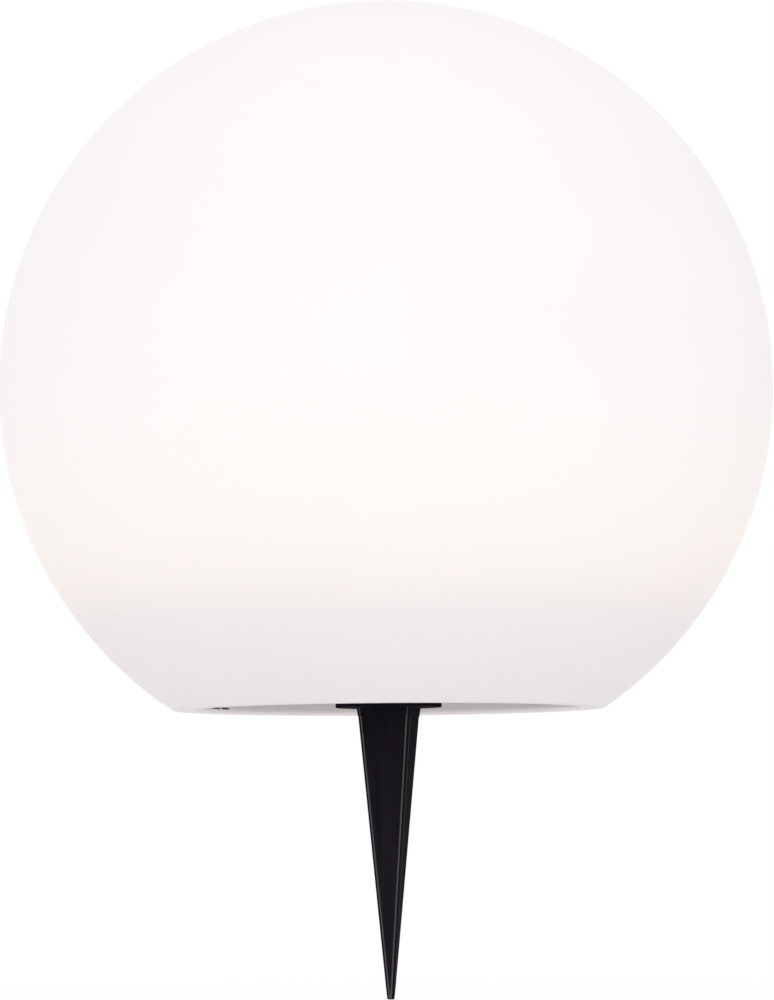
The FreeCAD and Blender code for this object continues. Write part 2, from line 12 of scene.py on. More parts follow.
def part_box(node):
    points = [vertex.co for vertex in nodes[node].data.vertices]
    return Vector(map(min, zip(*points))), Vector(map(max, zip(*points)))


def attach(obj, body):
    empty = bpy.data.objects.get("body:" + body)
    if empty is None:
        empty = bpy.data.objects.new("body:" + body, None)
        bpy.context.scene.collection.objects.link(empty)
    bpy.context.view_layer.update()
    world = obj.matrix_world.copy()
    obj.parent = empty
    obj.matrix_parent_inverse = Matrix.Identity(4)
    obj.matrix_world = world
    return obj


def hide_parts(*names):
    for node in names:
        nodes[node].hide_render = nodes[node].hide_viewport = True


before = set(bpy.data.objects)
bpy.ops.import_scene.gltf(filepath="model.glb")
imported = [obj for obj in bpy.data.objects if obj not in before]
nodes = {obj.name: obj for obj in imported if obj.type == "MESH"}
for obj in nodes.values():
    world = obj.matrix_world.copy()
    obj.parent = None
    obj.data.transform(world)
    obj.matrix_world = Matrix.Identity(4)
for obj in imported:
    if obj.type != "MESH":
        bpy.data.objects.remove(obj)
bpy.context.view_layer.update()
MM = 0.001

# ---- sizes read from the frame ----
globe_low, globe_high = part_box("globe_shell")
GLOBE_R = (globe_high.x - globe_low.x) / 2
GLOBE_CENTRE_Z = globe_high.z - GLOBE_R
stake_low, stake_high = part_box("ground_stake")
TIP_Z = stake_low.z
FLANGE_R = (stake_high.x - stake_low.x) / 2
FLANGE_TOP_Z = stake_high.z
GROUND_Z = TIP_Z  # the floor that the stake's tip touches

# ---- sizes of the moulded forms, as the solids have them ----
WALL = 3.0 * MM
NECK_R = 98.0 * MM
LIP_ROUND = 3.0 * MM
FOOT_ROUND = 2.5 * MM
LEDGE_Z = 24.0 * MM
LEDGE_R = 82.0 * MM
BOSS_R = 6.0 * MM
BOSS_PITCH_R = 90.0 * MM
BOSS_TOP_Z = 41.0 * MM
INSERT_BORE_R = 3.5 * MM
INSERT_Z = (28.0 * MM, 39.0 * MM)
SCREW_R = 2.0 * MM
CLEARANCE_R = 2.4 * MM
SCREW_ANGLES = [math.radians(45 + 90 * i) for i in range(4)]
SLOT_AZIMUTH = math.radians(164.0)
SLOT_Z = (2.2 * MM, 2.88 * MM)
SLOT_EASE = 0.2 * MM  # height over which its upper and lower sides turn in
SLOT_NEAR_END = 0.7 * MM  # length over which an opening's first end turns in
SLOT_SHADE_FROM = 0.3 * MM  # depth from which its inside is shaded
SLOT_MAX_DEPTH = 4.0 * MM  # depth that neither of its openings reaches
SLOT_MAX_ALONG = 17.0 * MM  # distance from its middle that neither of them reaches
# start, end and depth of its two openings, and the length over which each one's far end runs out
SLOT_SPANS = [(-7.4 * MM, 0.4 * MM, 1.8 * MM, 0.7 * MM), (1.7 * MM, 14.2 * MM, 1.4 * MM, 12.0 * MM)]

STAKE_TOP_Z = -3.5 * MM
STAKE_TOP_SIDE = 27.3 * MM
STAKE_TIP_SIDE = 3.8 * MM
STAKE_CHAMFER = 1.5 * MM
STAKE_ARRIS_R = 0.35 * MM
STAKE_RUB = (0.2 * MM, 0.65 * MM)  # distances from an arris where its shine starts to fade, and ends
STAKE_WALL = 2.6 * MM
STAKE_FLOOR_Z = -118.0 * MM
COLLAR_SIDE = 28.6 * MM
COLLAR_LOW_SIDE = 27.75 * MM
COLLAR_BOTTOM_Z = -3.7 * MM
FLANGE_Z = 0.9 * MM

# ---- glow of the globe's wall, by height ----
OPAL_COLOUR = (0.62, 0.618, 0.615)
GLOW_TOP_Z = GLOBE_CENTRE_Z + GLOBE_R
GLOW_BY_HEIGHT = [
    (0.0, 0.295),
    (18.0 * MM, 0.29),
    (30.0 * MM, 0.283),
    (44.0 * MM, 0.285),
    (62.0 * MM, 0.33),
    (82.0 * MM, 0.338),
    (130.0 * MM, 0.299),
    (180.0 * MM, 0.259),
    (250.0 * MM, 0.223),
    (GLOW_TOP_Z, 0.205),
]
GLOW_TINTS = [
    (0.0, (1.0, 0.855, 0.88)),
    (44.0 * MM, (1.0, 0.828, 0.835)),
    (62.0 * MM, (1.0, 0.842, 0.765)),
    (82.0 * MM, (1.0, 0.845, 0.775)),
    (125.0 * MM, (1.0, 0.863, 0.83)),
    (GLOW_TOP_Z, (1.0, 0.82, 0.84)),
]
RECESS_GLOW = 0.78  # share of the glow that reaches the walls under the base plate
RECESS_EDGE_R = (98.25 * MM, 98.8 * MM)  # where the lower rim's rounding takes the full glow again

# ---- camera, from the photograph's framing ----
CAMERA_AZIMUTH = math.radians(11.0)
CAMERA_DISTANCE = 2.5
CAMERA_Z = -0.031 * CAMERA_DISTANCE  # it looks very slightly up at the foot ring
AIM_Z = 108.25 * MM
ROLL = math.radians(0.45)
LENS = 174.4
SENSOR_WIDTH = 36.0

# ---- light ----
WORLD_LIGHT = 1.109
FLOOR_GREY = 0.68
FLOOR_HALF = 8.0
FLOOR_FADE = (0.15, 0.75)  # distances from the axis between which the floor turns wholly into background
FLOOR_WHITE = 0.96  # share of background in the floor at the stake's tip
# name, azimuth and elevation in degrees, distance, width and height, power in watts
LAMPS = [
    ("front_high", 2.0, 22.0, 3.0, (1.6, 1.6), 2.7),
    ("front_low", 2.0, 2.0, 3.0, (1.4, 0.6), 5.75),
    ("left_soft", -62.0, 22.0, 2.4, (0.9, 0.9), 2.0),
    ("right_soft", 64.0, 22.0, 2.4, (0.9, 0.9), 2.9),
    ("front_strip", 7.0, 2.0, 3.0, (0.12, 0.8), 2.0),
    ("left_strip", -46.0, 4.0, 2.2, (0.1, 0.9), 1.5),
    ("right_strip", 40.0, 4.0, 2.2, (0.1, 0.9), 2.0),
]


# ---------------------------------------------------------------- mesh helpers
def arc(centre_r, centre_z, radius, start, stop, steps):
    """Points of an arc in the (radius, height) plane, angles in degrees from the outward direction."""
    points = []
    for i in range(steps + 1):
        a = math.radians(start + (stop - start) * i / steps)
        points.append((centre_r + radius * math.cos(a), centre_z + radius * math.sin(a)))
    return points


def line(start, stop, steps):
    """Points along a straight stretch, without its first point."""
    return [tuple(a + (b - a) * i / steps for a, b in zip(start, stop)) for i in range(1, steps + 1)]


def quarter(steps=5):
    """Sine and cosine at even steps through a quarter turn."""
    angles = [math.pi / 2 * i / steps for i in range(steps + 1)]
    return [(math.sin(a), math.cos(a)) for a in angles]


def finish_mesh(name, bm, smooth_angle=35.0):
    """Turns the bmesh into a linked object with outward faces and sharp edges only past that angle."""
    bmesh.ops.remove_doubles(bm, verts=bm.verts, dist=1e-7)
    bmesh.ops.recalc_face_normals(bm, faces=bm.faces)
    mesh = bpy.data.meshes.new(name)
    bm.to_mesh(mesh)
    bm.free()
    mesh.shade_smooth()
    mesh.set_sharp_from_angle(angle=math.radians(smooth_angle))
    piece = bpy.data.objects.new(name, mesh)
    bpy.context.scene.collection.objects.link(piece)
    return piece


def skin(bm, rings, closed=False):
    """Joins rings of equal length with quads. A ring of one vertex is a pole."""
    pairs = list(zip(rings, rings[1:]))
    if closed:
        pairs.append((rings[-1], rings[0]))
    for a, b in pairs:
        if len(a) == len(b) == 1:  # the axis itself, between two poles
            continue
        count = max(len(a), len(b))
        for i in range(count):
            j = (i + 1) % count
            if len(a) == 1:
                bm.faces.new((a[0], b[i], b[j]))
            elif len(b) == 1:
                bm.faces.new((a[i], b[0], a[j]))
            else:
                bm.faces.new((a[i], b[i], b[j], a[j]))


def even_angles(count):
    return [2 * math.pi * i / count for i in range(count)]


def turned(centre, angle, r, z):
    """The point at that angle, radius and height round a vertical axis."""
    return centre[0] + r * math.cos(angle), centre[1] + r * math.sin(angle), z


def lathe(bm, profile, angles, closed=False, reach=None, centre=(0.0, 0.0)):
    """Turns (radius, height) points about a vertical axis. reach(angle, r, z) may give another radius."""
    rings = []
    for r, z in profile:
        if r < 1e-9:
            rings.append([bm.verts.new((centre[0], centre[1], z))])
            continue
        ring = []
        for a in angles:
            out = reach(a, r, z) if reach else r
            ring.append(bm.verts.new(turned(centre, a, out, z)))
        rings.append(ring)
    skin(bm, rings, closed)


def cut_away(piece, bm, smooth_angle=35.0):
    """Cuts the closed forms in the bmesh out of a piece."""
    cutter = finish_mesh("cutter", bm)
    cut = piece.modifiers.new("cut", "BOOLEAN")
    cut.operation = "DIFFERENCE"
    cut.solver = "EXACT"
    cut.object = cutter
    depsgraph = bpy.context.evaluated_depsgraph_get()
    mesh = bpy.data.meshes.new_from_object(piece.evaluated_get(depsgraph))
    piece.modifiers.clear()
    piece.data = mesh
    mesh.shade_smooth()
    mesh.set_sharp_from_angle(angle=math.radians(smooth_angle))
    bpy.data.objects.remove(cutter, do_unlink=True)


# ---------------------------------------------------------------- materials
def new_material(name):
    material = bpy.data.materials.new(name)
    material.use_nodes = True
    tree = material.node_tree
    return material, tree, tree.nodes["Principled BSDF"]


def noise(tree, scale, detail=4.0, roughness=0.55, stretch=(1, 1, 1)):
    """A noise over object coordinates, so that it stays on the surface as the piece moves."""
    coords = tree.nodes.new("ShaderNodeTexCoord")
    mapping = tree.nodes.new("ShaderNodeMapping")
    mapping.inputs["Scale"].default_value = stretch
    tree.links.new(coords.outputs["Object"], mapping.inputs["Vector"])
    texture = tree.nodes.new("ShaderNodeTexNoise")
    texture.inputs["Scale"].default_value = scale
    texture.inputs["Detail"].default_value = detail
    texture.inputs["Roughness"].default_value = roughness
    tree.links.new(mapping.outputs["Vector"], texture.inputs["Vector"])
    return texture.outputs["Fac"]


def ramp(tree, value, stops):
    """Colours or grey levels at positions along a value."""
    node = tree.nodes.new("ShaderNodeValToRGB")
    elements = node.color_ramp.elements
    while len(elements) < len(stops):
        elements.new(0.5)
    for element, (place, colour) in zip(elements, stops):
        element.position = place
        element.color = (*colour, 1.0) if isinstance(colour, tuple) else (colour, colour, colour, 1.0)
    tree.links.new(value, node.inputs["Fac"])
    return node.outputs["Color"]


def bump(tree, height, distance, strength=1.0, under=None):
    node = tree.nodes.new("ShaderNodeBump")
    node.inputs["Distance"].default_value = distance
    node.inputs["Strength"].default_value = strength
    tree.links.new(height, node.inputs["Height"])
    if under is not None:
        tree.links.new(under, node.inputs["Normal"])
    return node.outputs["Normal"]


def shade(colour, factor):
    return tuple(min(1.0, c * factor) for c in colour)


def moulded(name, colour, roughness=0.42, grain=2600.0, depth=0.02 * MM, specular=0.35, drift=0.12):
    """Moulded plastic: fine spark-eroded grain, a slow drift in tone, and rubbed patches in its gloss."""
    material, tree, shader = new_material(name)
    slow = noise(tree, 22.0, 3.0)
    tones = ramp(tree, slow, [(0.3, shade(colour, 1 - drift)), (0.7, shade(colour, 1 + drift))])
    tree.links.new(tones, shader.inputs["Base Color"])
    rub = noise(tree, 90.0, 6.0, 0.7)
    gloss = ramp(tree, rub, [(0.35, roughness - 0.05), (0.65, roughness + 0.07)])
    tree.links.new(gloss, shader.inputs["Roughness"])
    fine = bump(tree, noise(tree, grain, 2.0), depth)
    tree.links.new(bump(tree, noise(tree, 60.0, 2.0), 0.05 * MM, 0.5, fine), shader.inputs["Normal"])
    shader.inputs["Specular IOR Level"].default_value = specular
    return material


def metal(name, colour, roughness=0.28, brushed=(1, 1, 14)):
    """Plated or drawn metal: fine lines along one way, and faint tarnish."""
    material, tree, shader = new_material(name)
    shader.inputs["Metallic"].default_value = 1.0
    tarnish = noise(tree, 160.0, 5.0, 0.65)
    tones = ramp(tree, tarnish, [(0.3, shade(colour, 0.8)), (0.62, colour)])
    tree.links.new(tones, shader.inputs["Base Color"])
    lines = noise(tree, 900.0, 3.0, 0.6, brushed)
    gloss = ramp(tree, lines, [(0.3, roughness - 0.08), (0.7, roughness + 0.1)])
    tree.links.new(gloss, shader.inputs["Roughness"])
    tree.links.new(bump(tree, lines, 0.01 * MM), shader.inputs["Normal"])
    return material


def rubber(name, colour):
    """Dull rubber with a fine grain and a little dust."""
    material, tree, shader = new_material(name)
    dust = noise(tree, 240.0, 6.0, 0.7)
    tones = ramp(tree, dust, [(0.4, colour), (0.75, shade(colour, 2.2))])
    tree.links.new(tones, shader.inputs["Base Color"])
    shader.inputs["Roughness"].default_value = 0.8
    tree.links.new(bump(tree, noise(tree, 1800.0, 2.0), 0.03 * MM), shader.inputs["Normal"])
    return material


def math_node(tree, operation, *values):
    """A math node whose inputs are other nodes' outputs or plain numbers."""
    node = tree.nodes.new("ShaderNodeMath")
    node.operation = operation
    for socket, value in zip(node.inputs, values):
        if isinstance(value, (int, float)):
            socket.default_value = value
        else:
            tree.links.new(value, socket)
    return node.outputs[0]


def smooth_step(tree, value, start, end, low=0.0):
    """The low level below start, 1 above end, and a smooth rise between them."""
    node = tree.nodes.new("ShaderNodeMapRange")
    node.interpolation_type = "SMOOTHSTEP"
    node.inputs["From Min"].default_value = start
    node.inputs["From Max"].default_value = end
    node.inputs["To Min"].default_value = low
    tree.links.new(value, node.inputs["Value"])
    return node.outputs["Result"]


def object_axes(tree):
    """The three object coordinates, which stay with the piece as it moves."""
    coords = tree.nodes.new("ShaderNodeTexCoord")
    split = tree.nodes.new("ShaderNodeSeparateXYZ")
    tree.links.new(coords.outputs["Object"], split.inputs["Vector"])
    return split.outputs["X"], split.outputs["Y"], split.outputs["Z"]


def opal_plastic():
    """Opal polyethylene lit from inside: warmest and brightest near the bulb, and dimmer in the recess."""
    material, tree, shader = new_material("opal_plastic")
    x, y, z = object_axes(tree)
    level = math_node(tree, "DIVIDE", z, GLOW_TOP_Z)
    strength = ramp(tree, level, [(height / GLOW_TOP_Z, glow) for height, glow in GLOW_BY_HEIGHT])
    # the base plate keeps part of the bulb's light out of the recess under it
    radius = math_node(tree, "SQRT", math_node(tree, "MULTIPLY_ADD", y, y, math_node(tree, "MULTIPLY", x, x)))
    outside = smooth_step(tree, radius, *RECESS_EDGE_R)
    above = math_node(tree, "GREATER_THAN", z, LEDGE_Z + WALL / 2)
    lit = math_node(tree, "MAXIMUM", outside, above)
    share = math_node(tree, "MULTIPLY_ADD", lit, 1.0 - RECESS_GLOW, RECESS_GLOW)
    tree.links.new(math_node(tree, "MULTIPLY", strength, share), shader.inputs["Emission Strength"])
    tint = ramp(tree, level, [(height / GLOW_TOP_Z, colour) for height, colour in GLOW_TINTS])
    tree.links.new(tint, shader.inputs["Emission Color"])
    mottle = noise(tree, 9.0, 4.0)
    tones = ramp(tree, mottle, [(0.3, shade(OPAL_COLOUR, 0.99)), (0.7, shade(OPAL_COLOUR, 1.01))])
    tree.links.new(tones, shader.inputs["Base Color"])
    satin = ramp(tree, noise(tree, 70.0, 5.0, 0.65), [(0.35, 0.46), (0.65, 0.54)])
    tree.links.new(satin, shader.inputs["Roughness"])
    shader.inputs["Specular IOR Level"].default_value = 0.02
    skin_bump = bump(tree, noise(tree, 1500.0, 2.0), 0.015 * MM)
    tree.links.new(bump(tree, noise(tree, 14.0, 2.0), 0.12 * MM, 0.4, skin_bump), shader.inputs["Normal"])
    return material


def stake_plastic():
    """Black polypropylene: dull faces with faint flow streaks, and arrises rubbed to a shine."""
    material, tree, shader = new_material("stake_black")
    x, y, z = object_axes(tree)
    x = math_node(tree, "ABSOLUTE", x)
    y = math_node(tree, "ABSOLUTE", y)
    # each arris is where the two distances from the axis differ by the chamfer
    lag = math_node(tree, "ABSOLUTE", math_node(tree, "SUBTRACT", x, y))
    off_arris = math_node(tree, "ABSOLUTE", math_node(tree, "SUBTRACT", lag, STAKE_CHAMFER))
    near = math_node(tree, "SUBTRACT", 1.0, smooth_step(tree, off_arris, *STAKE_RUB))
    # the collar is rubbed half as much as the taper below it
    below_flange = math_node(tree, "LESS_THAN", z, FLANGE_Z)
    below_collar = math_node(tree, "LESS_THAN", z, COLLAR_BOTTOM_Z)
    half = math_node(tree, "MULTIPLY", below_flange, 0.5)
    exposed = math_node(tree, "MULTIPLY_ADD", below_collar, 0.5, half)
    wear = math_node(tree, "MULTIPLY_ADD", noise(tree, 150.0, 3.0), 0.5, 0.7)
    # the arrises beside the front and back faces are rubbed more than those beside the other two
    share = math_node(tree, "MULTIPLY_ADD", math_node(tree, "GREATER_THAN", y, x), 0.78, 0.22)
    rubbed = math_node(tree, "MULTIPLY", wear, share)
    edge = math_node(tree, "MULTIPLY", math_node(tree, "MULTIPLY", near, exposed), rubbed)
    tree.links.new(edge, shader.inputs["Coat Weight"])
    shader.inputs["Coat Roughness"].default_value = 0.22
    shader.inputs["Coat IOR"].default_value = 1.7
    rub = noise(tree, 120.0, 5.0, 0.7)
    tree.links.new(math_node(tree, "MULTIPLY_ADD", rub, 0.16, 0.62), shader.inputs["Roughness"])
    shader.inputs["Specular IOR Level"].default_value = 0.003
    streaks = noise(tree, 240.0, 3.0, 0.6, (1, 1, 0.04))
    tones = ramp(tree, streaks, [(0.35, (0.0142, 0.0110, 0.0152)), (0.65, (0.0100, 0.0084, 0.0132))])
    tree.links.new(tones, shader.inputs["Base Color"])
    fine = bump(tree, noise(tree, 1700.0, 2.0), 0.015 * MM)
    tree.links.new(bump(tree, streaks, 0.06 * MM, 0.5, fine), shader.inputs["Normal"])
    return material


def glowing(name, colour, light, strength):
    """A frosted plastic lit from inside, brighter and dimmer in slow patches."""
    material, tree, shader = new_material(name)
    tones = ramp(tree, noise(tree, 40.0, 3.0), [(0.3, shade(colour, 0.95)), (0.7, colour)])
    tree.links.new(tones, shader.inputs["Base Color"])
    shader.inputs["Emission Color"].default_value = (*light, 1.0)
    levels = ramp(tree, noise(tree, 30.0, 2.0), [(0.2, strength * 0.94), (0.8, strength)])
    tree.links.new(levels, shader.inputs["Emission Strength"])
    shader.inputs["Roughness"].default_value = 0.45
    tree.links.new(bump(tree, noise(tree, 1200.0, 2.0), 0.02 * MM), shader.inputs["Normal"])
    return material


OPAL = opal_plastic()
BLACK = stake_plastic()
SLOT_SHADE = moulded(
    "slot_shade", (0.3, 0.28, 0.28), roughness=0.6, grain=1500.0, depth=0.015 * MM, specular=0.1
)
PLATE_BLACK = moulded(
    "base_black", (0.012, 0.011, 0.013), roughness=0.45, grain=1700.0, specular=0.25, drift=0.2
)
HOLDER_BLACK = moulded(
    "holder_black", (0.018, 0.018, 0.02), roughness=0.3, grain=3200.0, depth=0.012 * MM, specular=0.45
)
RUBBER = rubber("black_rubber", (0.012, 0.012, 0.012))
STEEL = metal("stainless_steel", (0.58, 0.57, 0.55), roughness=0.3)
NICKEL = metal("nickel_plate", (0.66, 0.63, 0.58), roughness=0.24)
BRASS = metal("brass", (0.70, 0.50, 0.22), roughness=0.3)
FROSTED = glowing("frosted_dome", (0.56, 0.55, 0.53), light=(1.0, 0.9, 0.78), strength=0.36)
PHOSPHOR = glowing("led_phosphor", (0.8, 0.6, 0.15), light=(1.0, 0.86, 0.55), strength=1.0)


def glossy(name, colour, roughness=0.3, grain=3000.0, depth=0.006 * MM, specular=0.5, drift=0.12):
    """The smoother plastics and boards inside the lamp."""
    return moulded(name, colour, roughness, grain, depth, specular, drift)


BULB_WHITE = glossy("bulb_white", (0.78, 0.77, 0.75), depth=0.008 * MM, drift=0.03)
BLACK_GLASS = glossy("black_glass", (0.012, 0.012, 0.016), 0.12, 4000.0, 0.004 * MM, specular=0.6)
TERMINAL = glossy("terminal_nylon", (0.68, 0.66, 0.58), 0.38, depth=0.01 * MM, drift=0.04)
BOARD_WHITE = glossy("board_white", (0.74, 0.74, 0.72), drift=0.03)
BOARD_GREEN = glossy("board_green", (0.03, 0.16, 0.06), 0.28)
COMPONENT = glossy("component_black", (0.02, 0.02, 0.022), 0.35, depth=0.008 * MM)
BROWN = glossy("brown_insulation", (0.16, 0.07, 0.03))
BLUE = glossy("blue_insulation", (0.03, 0.10, 0.42))

CAD_FINISHES = {
    PLATE_BLACK: ["base_plate", "gland_body", "gland_dome_nut", "gland_locknut", "breather_vent"],
    RUBBER: ["base_gasket", "sealing_washers", "gland_seal", "gland_washer"],
    STEEL: ["base_screws", "lampholder_screws", "terminal_screws", "block_screw"],
    BRASS: ["threaded_inserts", "holder_terminals", "terminal_clamps", "centre_contact", "side_contact"],
    NICKEL: ["lampholder_liner", "bulb_contact"],
    PHOSPHOR: ["led_chips"],
    BLACK_GLASS: ["bulb_insulator"],
    TERMINAL: ["terminal_block"],
    BOARD_WHITE: ["led_board"],
    BOARD_GREEN: ["driver_board"],
    COMPONENT: ["driver_parts"],
    BROWN: ["live_wire"],
    BLUE: ["neutral_wire"],
}
# widths in millimetres
BEVELS = {
    "base_plate": 0.35,
    "gland_body": 0.25,
    "gland_dome_nut": 0.3,
    "gland_locknut": 0.3,
    "breather_vent": 0.25,
    "terminal_block": 0.3,
    "base_gasket": 0.2,
    "sealing_washers": 0.15,
    "gland_washer": 0.15,
}


def paint(piece, material):
    piece.data.materials.clear()
    piece.data.materials.append(material)


def round_edges(node, width):
    """A small rounding on a carried-over solid's sharp edges."""
    weld = node.modifiers.new("weld", "WELD")
    weld.merge_threshold = 1e-6
    edge = node.modifiers.new("edges", "BEVEL")
    edge.width = width
    edge.segments = 2
    edge.limit_method = "ANGLE"
    edge.angle_limit = math.radians(40)
    edge.harden_normals = True


def finish_cad_nodes():
    """Gives each carried-over solid its finish, and rounds the edges that show."""
    for material, names in CAD_FINISHES.items():
        for name in names:
            nodes[name].data.materials.clear()
            nodes[name].data.materials.append(material)
    for name, width in BEVELS.items():
        round_edges(nodes[name], width * MM)


# ---------------------------------------------------------------- globe
def globe_profile():
    """The wall's section as one closed loop: down the outside, round foot and neck, and up the inside."""
    corner_r, nose_r, shoulder_r = 0.8 * MM, 0.6 * MM, 1.0 * MM
    shelf_z = LEDGE_Z + WALL
    # the rounding between sphere and foot plane has its centre one radius above the plane
    round_centre_r = math.sqrt((GLOBE_R - FOOT_ROUND) ** 2 - (GLOBE_CENTRE_Z - FOOT_ROUND) ** 2)
    touch = -math.degrees(math.atan2(GLOBE_CENTRE_Z - FOOT_ROUND, round_centre_r))
    outside = arc(0, GLOBE_CENTRE_Z, GLOBE_R, 90, touch, 150)[1:]
    foot = arc(round_centre_r, FOOT_ROUND, FOOT_ROUND, touch, -90, 8)[1:]
    ring = line((round_centre_r, 0), (NECK_R + LIP_ROUND, 0), 4)
    lip = arc(NECK_R + LIP_ROUND, LIP_ROUND, LIP_ROUND, -90, -180, 20)[1:]
    neck = line((NECK_R, LIP_ROUND), (NECK_R, 4.5 * MM), 7)
    neck += line((NECK_R, 4.5 * MM), (NECK_R, LEDGE_Z - corner_r), 12)
    corner = arc(NECK_R - corner_r, LEDGE_Z - corner_r, corner_r, 0, 90, 4)[1:]
    ledge = line((NECK_R - corner_r, LEDGE_Z), (LEDGE_R + nose_r, LEDGE_Z), 5)
    nose = arc(LEDGE_R + nose_r, LEDGE_Z + nose_r, nose_r, -90, -180, 4)[1:]
    nose += arc(LEDGE_R + nose_r, shelf_z - nose_r, nose_r, 180, 90, 4)
    shelf = line((LEDGE_R + nose_r, shelf_z), (NECK_R + WALL - shoulder_r, shelf_z), 5)
    shoulder = arc(NECK_R + WALL - shoulder_r, shelf_z - shoulder_r, shoulder_r, 90, 0, 4)[1:]
    outer_neck = line((NECK_R + WALL, shelf_z - shoulder_r), (NECK_R + WALL, WALL), 8)
    inner_r = GLOBE_R - WALL
    inner_foot = math.sqrt(inner_r**2 - (GLOBE_CENTRE_Z - WALL) ** 2)
    floor = line((NECK_R + WALL, WALL), (inner_foot, WALL), 3)
    inner_touch = -math.degrees(math.atan2(GLOBE_CENTRE_Z - WALL, inner_foot))
    inside = arc(0, GLOBE_CENTRE_Z, inner_r, inner_touch, 90, 90)[1:-1]
    return (
        [(0, GLOBE_CENTRE_Z + GLOBE_R)] + outside + foot + ring + lip + neck + corner + ledge + nose
        + shelf + shoulder + outer_neck + floor + inside + [(0, GLOBE_CENTRE_Z + inner_r)]
    )


def slot_along(angle):
    """Distance round the neck wall from the slot's middle."""
    return ((angle - SLOT_AZIMUTH + math.pi) % (2 * math.pi) - math.pi) * NECK_R


def slot_reach(angle, r, z):
    """Sinks the slot's two openings into the neck wall, with sides that turn in over a few tenths."""
    if r > NECK_R + LIP_ROUND * 0.6 or z > LEDGE_Z / 2:
        return r
    middle, half = sum(SLOT_Z) / 2, (SLOT_Z[1] - SLOT_Z[0]) / 2
    inside_height = min(1.0, max(0.0, (half - abs(z - middle)) / SLOT_EASE + 0.5))
    along = slot_along(angle)
    for start, end, depth, run_out in SLOT_SPANS:
        if start < along < end:
            inside_ends = min(1.0, (along - start) / SLOT_NEAR_END, (end - along) / run_out)
            return r + (NECK_R + depth - r) * inside_ends * inside_height
    return r


def in_slot(x, y, z):
    """Whether a point of the wall lies inside one of the slot's openings."""
    level = SLOT_Z[0] - SLOT_EASE / 2 < z < SLOT_Z[1] + SLOT_EASE / 2
    sunk = NECK_R + SLOT_SHADE_FROM < math.hypot(x, y) < NECK_R + SLOT_MAX_DEPTH
    return level and sunk and abs(slot_along(math.atan2(y, x))) < SLOT_MAX_ALONG


def globe_angles():
    """One segment a degree, and finer ones across the slot."""
    fine = [SLOT_AZIMUTH + 0.35 * MM * i / NECK_R for i in range(-34, 48)]
    coarse = [a for a in even_angles(360) if not fine[0] - 0.002 < a < fine[-1] + 0.002]
    return sorted(coarse + fine)


def make_globe():
    bm = bmesh.new()
    lathe(bm, globe_profile(), globe_angles(), reach=slot_reach)
    globe = finish_mesh("opal_globe", bm, 40.0)
    drill_ledge(globe)
    paint(globe, OPAL)
    globe.data.materials.append(SLOT_SHADE)
    for face in globe.data.polygons:
        if in_slot(*face.center):
            face.material_index = 1
    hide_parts("globe_shell")
    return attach(globe, "globe")


def screw_places():
    return [(BOSS_PITCH_R * math.cos(a), BOSS_PITCH_R * math.sin(a)) for a in SCREW_ANGLES]


def drill_ledge(globe):
    """Cuts the screws' clearance holes through the ledge."""
    low, high = LEDGE_Z - 2.0 * MM, LEDGE_Z + WALL + 2.0 * MM
    hole = [(0, low), (CLEARANCE_R, low), (CLEARANCE_R, high), (0, high)]
    bm = bmesh.new()
    for centre in screw_places():
        lathe(bm, hole, even_angles(32), centre=centre)
    cut_away(globe, bm, 40.0)


def make_bosses():
    """Four bosses on the ledge, each with a blind bore that holds its threaded insert."""
    low, top = LEDGE_Z + WALL - 0.5 * MM, BOSS_TOP_Z
    edge_r = 0.8 * MM
    outside = [(BOSS_R, low)] + arc(BOSS_R - edge_r, top - edge_r, edge_r, 0, 90, 4) + [(0, top)]
    bore = [(0, INSERT_Z[1]), (INSERT_BORE_R, INSERT_Z[1]), (INSERT_BORE_R, INSERT_Z[0])]
    bore += [(CLEARANCE_R, INSERT_Z[0]), (CLEARANCE_R, low)]
    bm = bmesh.new()
    for centre in screw_places():
        lathe(bm, outside + bore, even_angles(32), closed=True, centre=centre)
    bosses = finish_mesh("insert_bosses", bm)
    paint(bosses, OPAL)
    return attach(bosses, "globe")


def make_screw_threads():
    """The rolled thread on each cover screw's shank, as one helical ridge that fades in and out."""
    low, high, pitch = 23.0 * MM, 35.6 * MM, 0.7 * MM
    root, crest, per_turn = SCREW_R - 0.1 * MM, SCREW_R + 0.09 * MM, 20
    steps = int((high - low) / pitch * per_turn)
    bm = bmesh.new()
    for centre in screw_places():
        rings = []
        for i in range(steps + 1):
            a, z = 2 * math.pi * i / per_turn, low + pitch * i / per_turn
            turns_to_end = min(i, steps - i) / per_turn
            tip = root + (crest - root) * min(1.0, max(0.1, turns_to_end))
            corners = [(root, -0.3 * MM), (tip, -0.05 * MM), (tip, 0.05 * MM), (root, 0.3 * MM)]
            rings.append([bm.verts.new(turned(centre, a, r, z + rise)) for r, rise in corners])
        skin(bm, rings)
        bm.faces.new(rings[0])
        bm.faces.new(rings[-1])
    threads = finish_mesh("screw_threads", bm)
    paint(threads, STEEL)
    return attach(threads, "base")


# ---------------------------------------------------------------- stake
FACE_STEPS = 8  # points along each half of a face


def square_ring(half, flat, corner):
    """A ring round a square, from its +X side's middle, whose corners have the given points."""
    points = []
    for turns in range(4):
        turn = Matrix.Rotation(math.pi / 2 * turns, 2)
        side = [Vector((half, flat * i / FACE_STEPS)) for i in range(FACE_STEPS)]
        back = [Vector((flat * (1 - i / FACE_STEPS), half)) for i in range(1, FACE_STEPS)]
        points += [turn @ p for p in side + corner + back]
    return points


def rounded_square(side, radius):
    """A square with round corners."""
    half = side / 2
    flat = half - min(radius, half * 0.98)
    corner = [Vector((flat + (half - flat) * c, flat + (half - flat) * s)) for s, c in quarter(8)]
    return square_ring(half, flat, corner)


